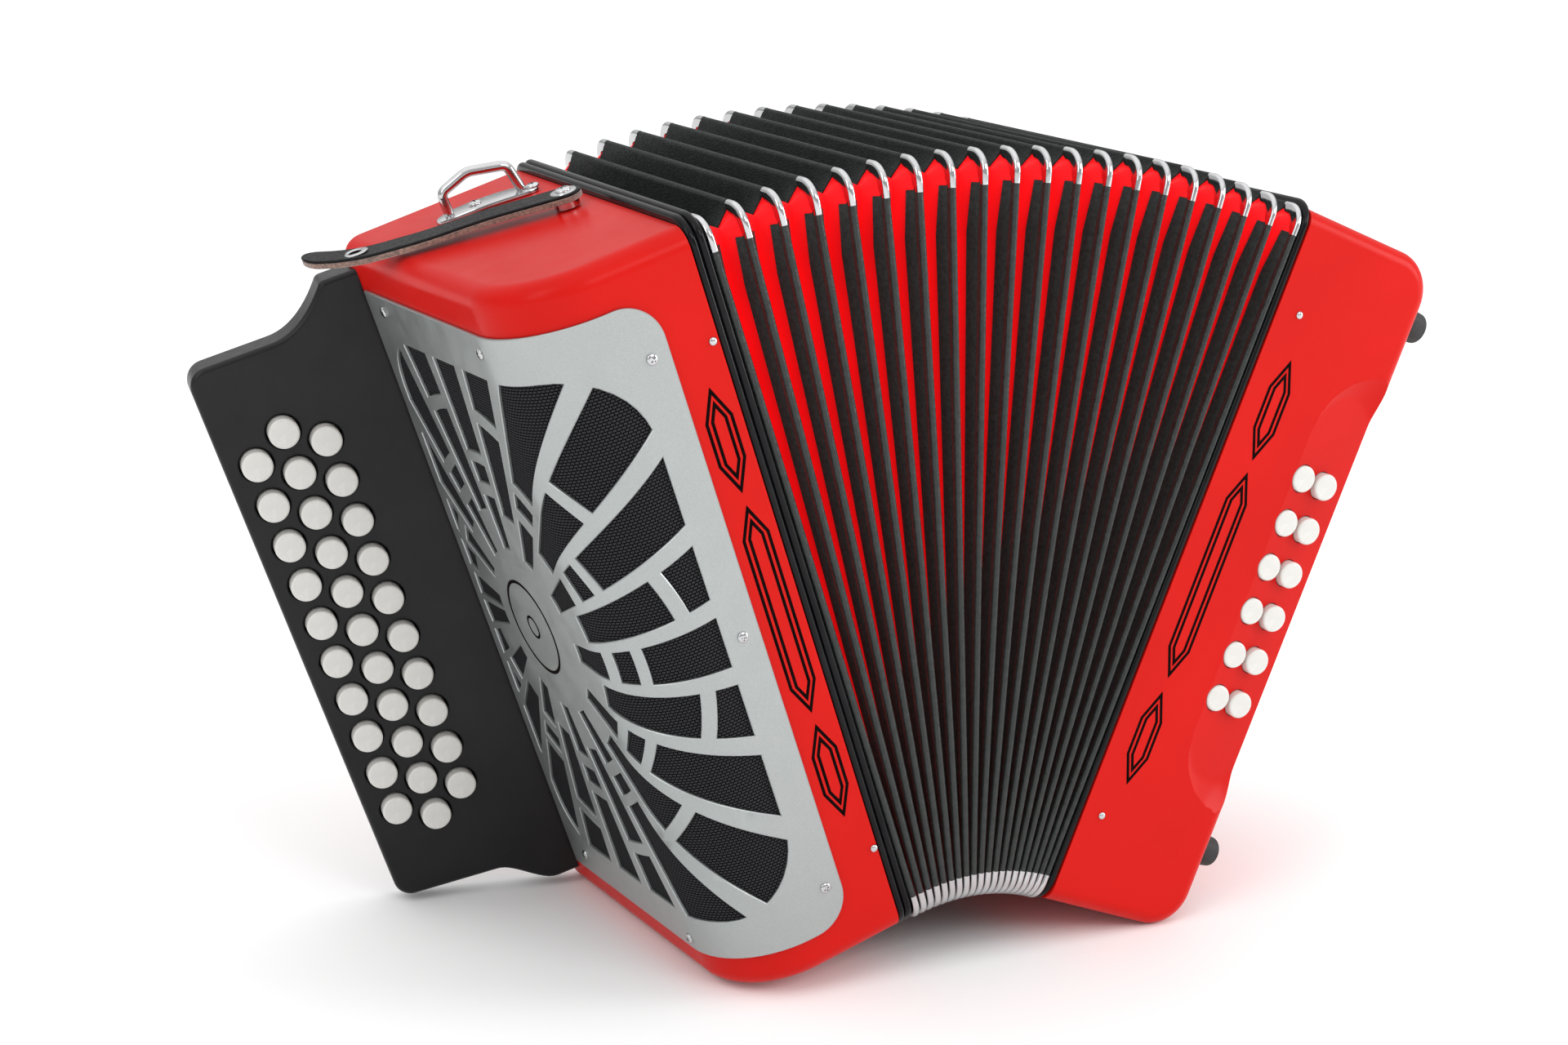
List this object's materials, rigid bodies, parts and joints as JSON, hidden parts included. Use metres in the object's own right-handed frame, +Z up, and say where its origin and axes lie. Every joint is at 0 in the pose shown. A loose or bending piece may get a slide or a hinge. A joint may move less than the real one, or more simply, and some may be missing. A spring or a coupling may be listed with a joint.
{
  "type": "button accordion",
  "caption": "Button accordion standing with its bellows fanned open, with a slanted fingerboard of round buttons, bass buttons, a wrap-round grille and straps.",
  "frame": {"origin": "middle of the bounding box's underside, between the two lower edges that the cases stand on", "axes": "+Z up; -Y the side away from the player, with the grille front and the bass buttons; +X from the treble side to the bass side"},
  "size_m": [0.4876, 0.1841, 0.3356],
  "materials": {
    "case_red": "high-gloss lacquered celluloid",
    "grille_silver": "satin",
    "board_black": "satin black",
    "button_white": "polished off-white",
    "frame_black": "black lacquer",
    "bellows_black": "black cloth tape over folded card",
    "leather_black": "smooth black leather",
    "chrome": "polished",
    "foot_rubber": "matte",
    "reed_wood": "plain spruce and maple"
  },
  "bodies": {
    "treble": {"treble_case": "case_red", "treble_grille": "grille_silver", "fingerboard": "board_black", "treble_bellows_frame": "frame_black", "treble_reed_block": "reed_wood", "strap_bracket": "chrome"},
    "bellows": {"bellows": "bellows_black"},
    "bass": {"bass_case": "case_red", "bass_bellows_frame": "frame_black", "bass_reed_block": "reed_wood", "hand_strap": "leather_black", "rubber_foot_1": "foot_rubber", "rubber_foot_2": "foot_rubber", "rubber_foot_3": "foot_rubber", "rubber_foot_4": "foot_rubber"},
    "strap": {"bellows_strap": "leather_black"},
    "air_valve": {"air_button": "button_white"},
    "treble_button_01": {"treble_button_01": "button_white"},
    "treble_button_02": {"treble_button_02": "button_white"},
    "treble_button_03": {"treble_button_03": "button_white"},
    "treble_button_04": {"treble_button_04": "button_white"},
    "treble_button_05": {"treble_button_05": "button_white"},
    "treble_button_06": {"treble_button_06": "button_white"},
    "treble_button_07": {"treble_button_07": "button_white"},
    "treble_button_08": {"treble_button_08": "button_white"},
    "treble_button_09": {"treble_button_09": "button_white"},
    "treble_button_10": {"treble_button_10": "button_white"},
    "treble_button_11": {"treble_button_11": "button_white"},
    "treble_button_12": {"treble_button_12": "button_white"},
    "treble_button_13": {"treble_button_13": "button_white"},
    "treble_button_14": {"treble_button_14": "button_white"},
    "treble_button_15": {"treble_button_15": "button_white"},
    "treble_button_16": {"treble_button_16": "button_white"},
    "treble_button_17": {"treble_button_17": "button_white"},
    "treble_button_18": {"treble_button_18": "button_white"},
    "treble_button_19": {"treble_button_19": "button_white"},
    "treble_button_20": {"treble_button_20": "button_white"},
    "treble_button_21": {"treble_button_21": "button_white"},
    "treble_button_22": {"treble_button_22": "button_white"},
    "treble_button_23": {"treble_button_23": "button_white"},
    "treble_button_24": {"treble_button_24": "button_white"},
    "treble_button_25": {"treble_button_25": "button_white"},
    "treble_button_26": {"treble_button_26": "button_white"},
    "treble_button_27": {"treble_button_27": "button_white"},
    "treble_button_28": {"treble_button_28": "button_white"},
    "treble_button_29": {"treble_button_29": "button_white"},
    "treble_button_30": {"treble_button_30": "button_white"},
    "treble_button_31": {"treble_button_31": "button_white"},
    "bass_button_01": {"bass_button_01": "button_white"},
    "bass_button_02": {"bass_button_02": "button_white"},
    "bass_button_03": {"bass_button_03": "button_white"},
    "bass_button_04": {"bass_button_04": "button_white"},
    "bass_button_05": {"bass_button_05": "button_white"},
    "bass_button_06": {"bass_button_06": "button_white"},
    "bass_button_07": {"bass_button_07": "button_white"},
    "bass_button_08": {"bass_button_08": "button_white"},
    "bass_button_09": {"bass_button_09": "button_white"},
    "bass_button_10": {"bass_button_10": "button_white"},
    "bass_button_11": {"bass_button_11": "button_white"},
    "bass_button_12": {"bass_button_12": "button_white"}
  },
  "joints": [
    {"name": "bellows_fan", "type": "hinge", "parent": "treble", "child": "bellows", "pos_m": [0.01206, 0, 0.0252], "axis": [0, 1, 0], "range_deg": [-20.05, 15], "deforming": ["bellows"]},
    {"name": "bass_fan", "type": "hinge", "parent": "bellows", "child": "bass", "pos_m": [0.04052, 0, 0.02935], "axis": [0, 1, 0], "range_deg": [-20.05, 15], "deforming": ["bellows"]},
    {"name": "strap_swing", "type": "hinge", "parent": "treble", "child": "strap", "pos_m": [-0.11364, -0.0061, 0.30803], "axis": [-0.3107, 0, 0.9505], "range_deg": [0, 205]},
    {"name": "air_button_press", "type": "slide", "parent": "bass", "child": "air_valve", "axis": [-0.9272, 0, 0.3746], "range_m": [0, 0.005], "stiffness_N_per_m": 80, "springref_m": -0.01},
    {"name": "treble_button_01_press", "type": "slide", "parent": "treble", "child": "treble_button_01", "axis": [0.1487, 0.9877, 0.0486], "range_m": [0, 0.0038], "stiffness_N_per_m": 60, "springref_m": -0.008},
    {"name": "treble_button_02_press", "type": "slide", "parent": "treble", "child": "treble_button_02", "axis": [0.1487, 0.9877, 0.0486], "range_m": [0, 0.0038], "stiffness_N_per_m": 60, "springref_m": -0.008},
    {"name": "treble_button_03_press", "type": "slide", "parent": "treble", "child": "treble_button_03", "axis": [0.1487, 0.9877, 0.0486], "range_m": [0, 0.0038], "stiffness_N_per_m": 60, "springref_m": -0.008},
    {"name": "treble_button_04_press", "type": "slide", "parent": "treble", "child": "treble_button_04", "axis": [0.1487, 0.9877, 0.0486], "range_m": [0, 0.0038], "stiffness_N_per_m": 60, "springref_m": -0.008},
    {"name": "treble_button_05_press", "type": "slide", "parent": "treble", "child": "treble_button_05", "axis": [0.1487, 0.9877, 0.0486], "range_m": [0, 0.0038], "stiffness_N_per_m": 60, "springref_m": -0.008},
    {"name": "treble_button_06_press", "type": "slide", "parent": "treble", "child": "treble_button_06", "axis": [0.1487, 0.9877, 0.0486], "range_m": [0, 0.0038], "stiffness_N_per_m": 60, "springref_m": -0.008},
    {"name": "treble_button_07_press", "type": "slide", "parent": "treble", "child": "treble_button_07", "axis": [0.1487, 0.9877, 0.0486], "range_m": [0, 0.0038], "stiffness_N_per_m": 60, "springref_m": -0.008},
    {"name": "treble_button_08_press", "type": "slide", "parent": "treble", "child": "treble_button_08", "axis": [0.1487, 0.9877, 0.0486], "range_m": [0, 0.0038], "stiffness_N_per_m": 60, "springref_m": -0.008},
    {"name": "treble_button_09_press", "type": "slide", "parent": "treble", "child": "treble_button_09", "axis": [0.1487, 0.9877, 0.0486], "range_m": [0, 0.0038], "stiffness_N_per_m": 60, "springref_m": -0.008},
    {"name": "treble_button_10_press", "type": "slide", "parent": "treble", "child": "treble_button_10", "axis": [0.1487, 0.9877, 0.0486], "range_m": [0, 0.0038], "stiffness_N_per_m": 60, "springref_m": -0.008},
    {"name": "treble_button_11_press", "type": "slide", "parent": "treble", "child": "treble_button_11", "axis": [0.1487, 0.9877, 0.0486], "range_m": [0, 0.0038], "stiffness_N_per_m": 60, "springref_m": -0.008},
    {"name": "treble_button_12_press", "type": "slide", "parent": "treble", "child": "treble_button_12", "axis": [0.1487, 0.9877, 0.0486], "range_m": [0, 0.0038], "stiffness_N_per_m": 60, "springref_m": -0.008},
    {"name": "treble_button_13_press", "type": "slide", "parent": "treble", "child": "treble_button_13", "axis": [0.1487, 0.9877, 0.0486], "range_m": [0, 0.0038], "stiffness_N_per_m": 60, "springref_m": -0.008},
    {"name": "treble_button_14_press", "type": "slide", "parent": "treble", "child": "treble_button_14", "axis": [0.1487, 0.9877, 0.0486], "range_m": [0, 0.0038], "stiffness_N_per_m": 60, "springref_m": -0.008},
    {"name": "treble_button_15_press", "type": "slide", "parent": "treble", "child": "treble_button_15", "axis": [0.1487, 0.9877, 0.0486], "range_m": [0, 0.0038], "stiffness_N_per_m": 60, "springref_m": -0.008},
    {"name": "treble_button_16_press", "type": "slide", "parent": "treble", "child": "treble_button_16", "axis": [0.1487, 0.9877, 0.0486], "range_m": [0, 0.0038], "stiffness_N_per_m": 60, "springref_m": -0.008},
    {"name": "treble_button_17_press", "type": "slide", "parent": "treble", "child": "treble_button_17", "axis": [0.1487, 0.9877, 0.0486], "range_m": [0, 0.0038], "stiffness_N_per_m": 60, "springref_m": -0.008},
    {"name": "treble_button_18_press", "type": "slide", "parent": "treble", "child": "treble_button_18", "axis": [0.1487, 0.9877, 0.0486], "range_m": [0, 0.0038], "stiffness_N_per_m": 60, "springref_m": -0.008},
    {"name": "treble_button_19_press", "type": "slide", "parent": "treble", "child": "treble_button_19", "axis": [0.1487, 0.9877, 0.0486], "range_m": [0, 0.0038], "stiffness_N_per_m": 60, "springref_m": -0.008},
    {"name": "treble_button_20_press", "type": "slide", "parent": "treble", "child": "treble_button_20", "axis": [0.1487, 0.9877, 0.0486], "range_m": [0, 0.0038], "stiffness_N_per_m": 60, "springref_m": -0.008},
    {"name": "treble_button_21_press", "type": "slide", "parent": "treble", "child": "treble_button_21", "axis": [0.1487, 0.9877, 0.0486], "range_m": [0, 0.0038], "stiffness_N_per_m": 60, "springref_m": -0.008},
    {"name": "treble_button_22_press", "type": "slide", "parent": "treble", "child": "treble_button_22", "axis": [0.1487, 0.9877, 0.0486], "range_m": [0, 0.0038], "stiffness_N_per_m": 60, "springref_m": -0.008},
    {"name": "treble_button_23_press", "type": "slide", "parent": "treble", "child": "treble_button_23", "axis": [0.1487, 0.9877, 0.0486], "range_m": [0, 0.0038], "stiffness_N_per_m": 60, "springref_m": -0.008},
    {"name": "treble_button_24_press", "type": "slide", "parent": "treble", "child": "treble_button_24", "axis": [0.1487, 0.9877, 0.0486], "range_m": [0, 0.0038], "stiffness_N_per_m": 60, "springref_m": -0.008},
    {"name": "treble_button_25_press", "type": "slide", "parent": "treble", "child": "treble_button_25", "axis": [0.1487, 0.9877, 0.0486], "range_m": [0, 0.0038], "stiffness_N_per_m": 60, "springref_m": -0.008},
    {"name": "treble_button_26_press", "type": "slide", "parent": "treble", "child": "treble_button_26", "axis": [0.1487, 0.9877, 0.0486], "range_m": [0, 0.0038], "stiffness_N_per_m": 60, "springref_m": -0.008},
    {"name": "treble_button_27_press", "type": "slide", "parent": "treble", "child": "treble_button_27", "axis": [0.1487, 0.9877, 0.0486], "range_m": [0, 0.0038], "stiffness_N_per_m": 60, "springref_m": -0.008},
    {"name": "treble_button_28_press", "type": "slide", "parent": "treble", "child": "treble_button_28", "axis": [0.1487, 0.9877, 0.0486], "range_m": [0, 0.0038], "stiffness_N_per_m": 60, "springref_m": -0.008},
    {"name": "treble_button_29_press", "type": "slide", "parent": "treble", "child": "treble_button_29", "axis": [0.1487, 0.9877, 0.0486], "range_m": [0, 0.0038], "stiffness_N_per_m": 60, "springref_m": -0.008},
    {"name": "treble_button_30_press", "type": "slide", "parent": "treble", "child": "treble_button_30", "axis": [0.1487, 0.9877, 0.0486], "range_m": [0, 0.0038], "stiffness_N_per_m": 60, "springref_m": -0.008},
    {"name": "treble_button_31_press", "type": "slide", "parent": "treble", "child": "treble_button_31", "axis": [0.1487, 0.9877, 0.0486], "range_m": [0, 0.0038], "stiffness_N_per_m": 60, "springref_m": -0.008},
    {"name": "bass_button_01_press", "type": "slide", "parent": "bass", "child": "bass_button_01", "axis": [0, 1, 0], "range_m": [0, 0.003], "stiffness_N_per_m": 60, "springref_m": -0.008},
    {"name": "bass_button_02_press", "type": "slide", "parent": "bass", "child": "bass_button_02", "axis": [0, 1, 0], "range_m": [0, 0.003], "stiffness_N_per_m": 60, "springref_m": -0.008},
    {"name": "bass_button_03_press", "type": "slide", "parent": "bass", "child": "bass_button_03", "axis": [0, 1, 0], "range_m": [0, 0.003], "stiffness_N_per_m": 60, "springref_m": -0.008},
    {"name": "bass_button_04_press", "type": "slide", "parent": "bass", "child": "bass_button_04", "axis": [0, 1, 0], "range_m": [0, 0.003], "stiffness_N_per_m": 60, "springref_m": -0.008},
    {"name": "bass_button_05_press", "type": "slide", "parent": "bass", "child": "bass_button_05", "axis": [0, 1, 0], "range_m": [0, 0.003], "stiffness_N_per_m": 60, "springref_m": -0.008},
    {"name": "bass_button_06_press", "type": "slide", "parent": "bass", "child": "bass_button_06", "axis": [0, 1, 0], "range_m": [0, 0.003], "stiffness_N_per_m": 60, "springref_m": -0.008},
    {"name": "bass_button_07_press", "type": "slide", "parent": "bass", "child": "bass_button_07", "axis": [0, 1, 0], "range_m": [0, 0.003], "stiffness_N_per_m": 60, "springref_m": -0.008},
    {"name": "bass_button_08_press", "type": "slide", "parent": "bass", "child": "bass_button_08", "axis": [0, 1, 0], "range_m": [0, 0.003], "stiffness_N_per_m": 60, "springref_m": -0.008},
    {"name": "bass_button_09_press", "type": "slide", "parent": "bass", "child": "bass_button_09", "axis": [0, 1, 0], "range_m": [0, 0.003], "stiffness_N_per_m": 60, "springref_m": -0.008},
    {"name": "bass_button_10_press", "type": "slide", "parent": "bass", "child": "bass_button_10", "axis": [0, 1, 0], "range_m": [0, 0.003], "stiffness_N_per_m": 60, "springref_m": -0.008},
    {"name": "bass_button_11_press", "type": "slide", "parent": "bass", "child": "bass_button_11", "axis": [0, 1, 0], "range_m": [0, 0.003], "stiffness_N_per_m": 60, "springref_m": -0.008},
    {"name": "bass_button_12_press", "type": "slide", "parent": "bass", "child": "bass_button_12", "axis": [0, 1, 0], "range_m": [0, 0.003], "stiffness_N_per_m": 60, "springref_m": -0.008}
  ],
  "couplings": [
    {"joint": "bass_fan", "follows": "bellows_fan", "ratio": 1}
  ]
}
